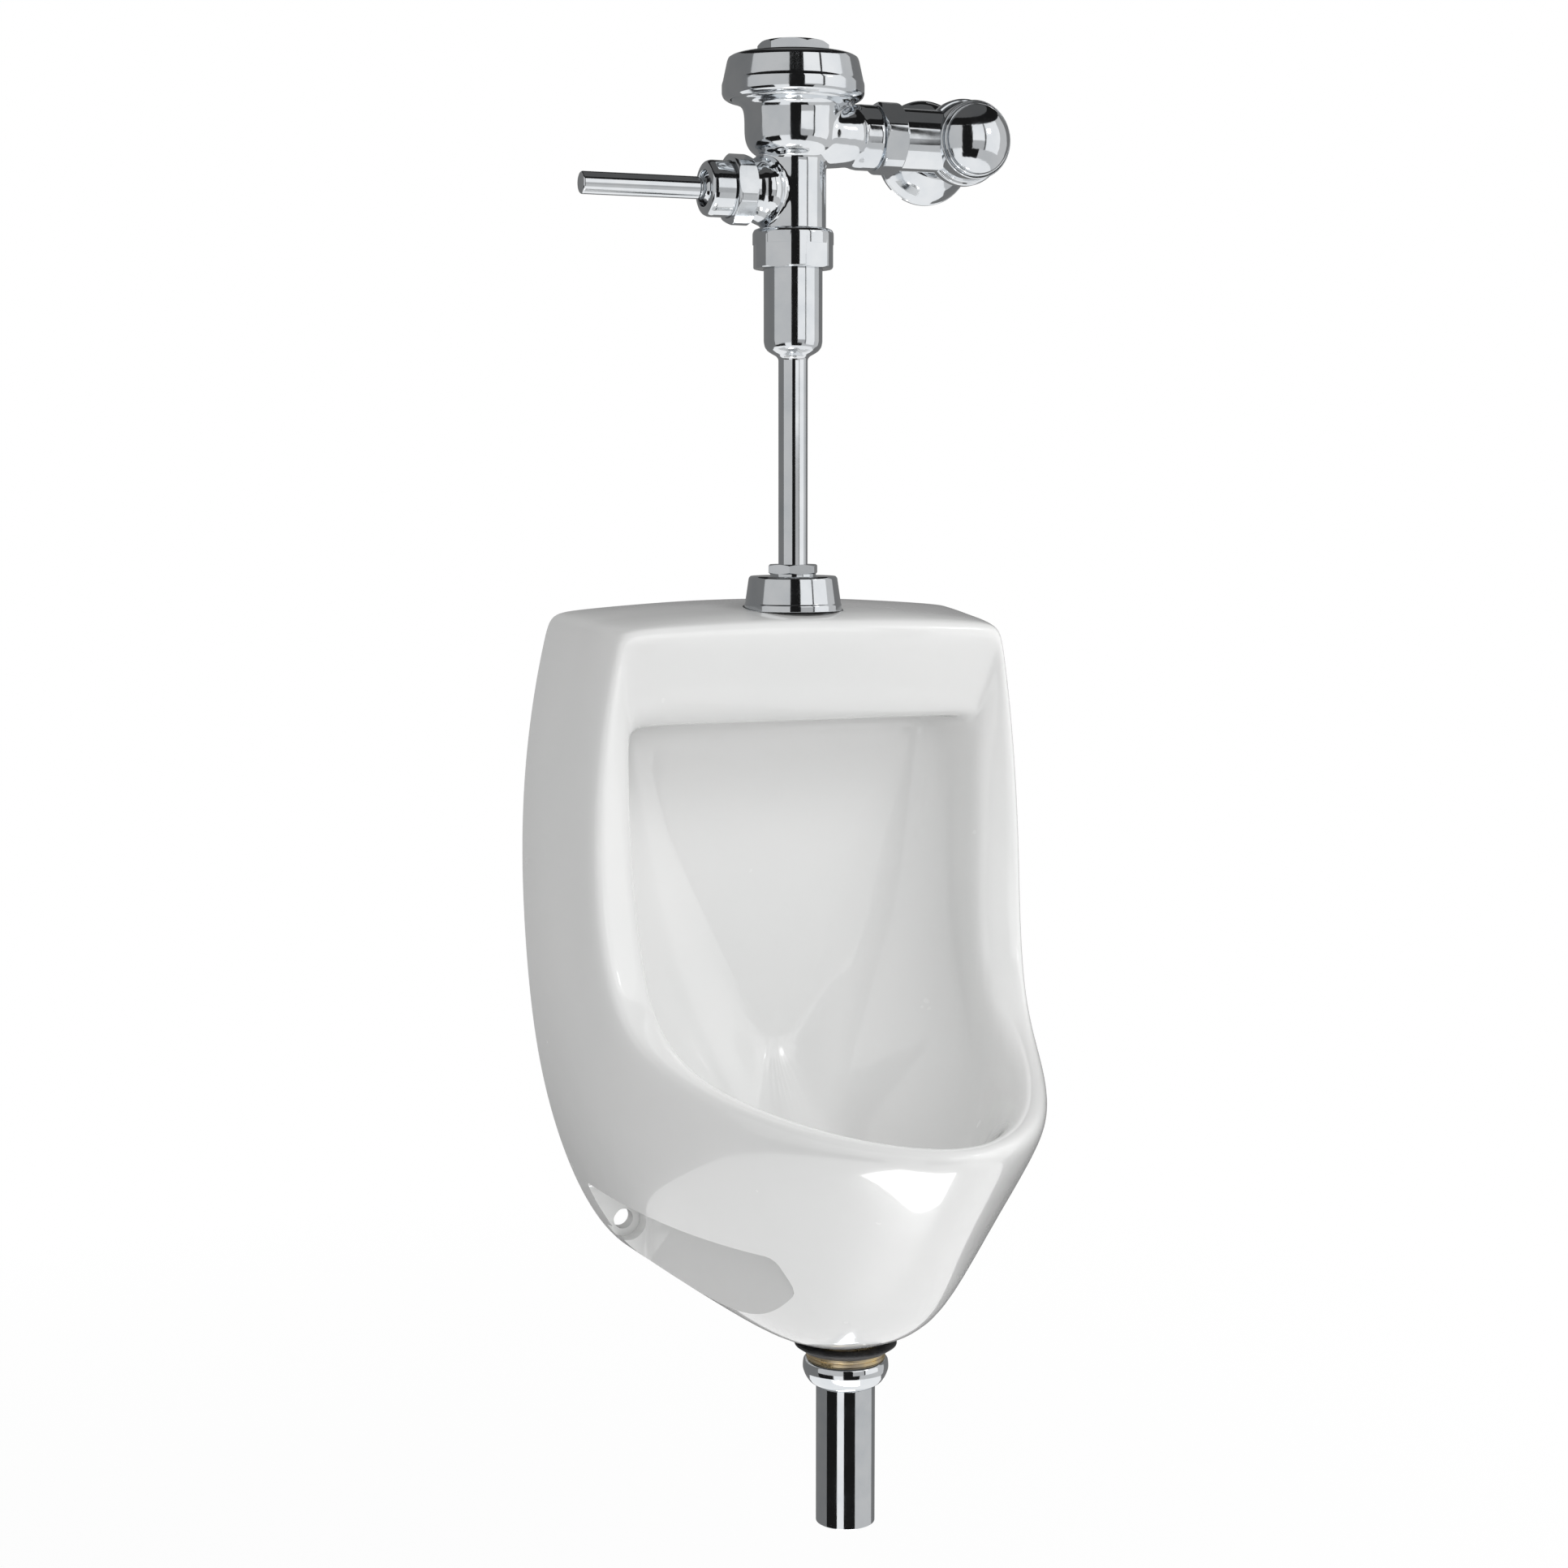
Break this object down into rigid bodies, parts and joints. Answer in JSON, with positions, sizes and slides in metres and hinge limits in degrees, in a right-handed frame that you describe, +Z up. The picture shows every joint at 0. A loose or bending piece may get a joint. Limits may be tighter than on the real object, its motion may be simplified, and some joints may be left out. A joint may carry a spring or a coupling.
{
  "type": "urinal",
  "caption": "Wall-hung vitreous china urinal with an exposed manual flush valve, side handle, control stop, top spud and tailpiece outlet.",
  "frame": {"origin": "on the wall plane, midway between the two anchor holes of the lower lugs", "axes": "+X to the right seen from the front, +Y into the wall, +Z up; the fixture stands on the -Y side of the wall"},
  "size_m": [0.3362, 0.3251, 0.9495],
  "materials": {
    "china": "white glaze",
    "chrome": "polished chrome plate",
    "brass": "bare turned brass",
    "rubber": "matt black",
    "steel": "plain steel",
    "plastic": "moulded"
  },
  "bodies": {
    "fixture": {"china_body": "china", "wall_hanger_left": "steel", "wall_hanger_right": "steel", "spud_body": "brass", "spud_washer": "rubber", "spud_sleeve": "rubber", "spud_expansion_nut": "brass", "spud_flange": "chrome", "spud_gasket": "rubber", "friction_ring": "brass", "spud_coupling_nut": "chrome", "flush_tube": "chrome", "breaker_sack": "rubber", "breaker_insert": "plastic", "breaker_gasket": "rubber", "flush_coupling_nut": "chrome", "valve_body": "chrome", "outside_cover": "chrome", "inside_cover": "plastic", "diaphragm": "rubber", "handle_gasket": "rubber", "handle_bushing": "brass", "handle_seal": "rubber", "handle_spring": "steel", "handle_socket": "chrome", "handle_coupling_nut": "chrome", "stop_tailpiece": "brass", "tailpiece_oring": "rubber", "locking_ring": "brass", "stop_coupling_nut": "chrome", "stop_body": "chrome", "stop_spring": "steel", "stop_bonnet": "brass", "bonnet_oring": "rubber", "cap_sleeve": "chrome", "supply_adapter": "brass", "cover_tube": "chrome", "wall_flange": "chrome", "flange_setscrew": "steel", "bowl_strainer": "chrome", "strainer_screw": "steel", "outlet_spud": "brass", "outlet_gasket": "rubber", "outlet_locknut": "brass", "slip_washer": "rubber", "slip_collar": "chrome", "tailpiece": "chrome"},
    "lever": {"handle_lever": "chrome"},
    "plunger": {"plunger": "brass"},
    "guide": {"guide": "plastic", "diaphragm_disc": "plastic"},
    "relief": {"relief_valve": "brass"},
    "adjusting_screw": {"stop_screw": "brass"},
    "piston": {"stop_piston": "brass"},
    "cap": {"stop_cap": "chrome"}
  },
  "joints": [
    {"name": "handle_press", "type": "hinge", "parent": "fixture", "child": "lever", "pos_m": [-0.0582, -0.06, 0.6948], "axis": [0, -1, 0], "range_deg": [0, 7], "stiffness_Nm_per_rad": 8, "springref_deg": -2.86},
    {"name": "plunger_slide", "type": "slide", "parent": "fixture", "child": "plunger", "axis": [1, 0, 0], "range_m": [0, 0.0027]},
    {"name": "guide_lift", "type": "slide", "parent": "fixture", "child": "guide", "axis": [0, 0, 1], "range_m": [0, 0.003], "deforming": ["diaphragm"]},
    {"name": "relief_tilt", "type": "hinge", "parent": "guide", "child": "relief", "pos_m": [-0.0115, -0.06, 0.7541], "axis": [0, -1, 0], "range_deg": [0, 2.1]},
    {"name": "screw_turn", "type": "hinge", "parent": "fixture", "child": "adjusting_screw", "pos_m": [0.121, -0.086, 0.7165], "axis": [0, -1, 0], "range_deg": [0, 1441]},
    {"name": "piston_travel", "type": "slide", "parent": "fixture", "child": "piston", "axis": [0, -1, 0], "range_m": [0, 0.006]},
    {"name": "cap_spin", "type": "hinge", "parent": "fixture", "child": "cap", "pos_m": [0.121, -0.086, 0.7165], "axis": [0, -1, 0], "continuous": true}
  ],
  "couplings": [
    {"joint": "plunger_slide", "follows": "handle_press", "m_per_rad": 0.0217},
    {"joint": "relief_tilt", "follows": "handle_press", "ratio": 0.29},
    {"joint": "screw_turn", "follows": "piston_travel", "rad_per_m": 4188.8}
  ]
}
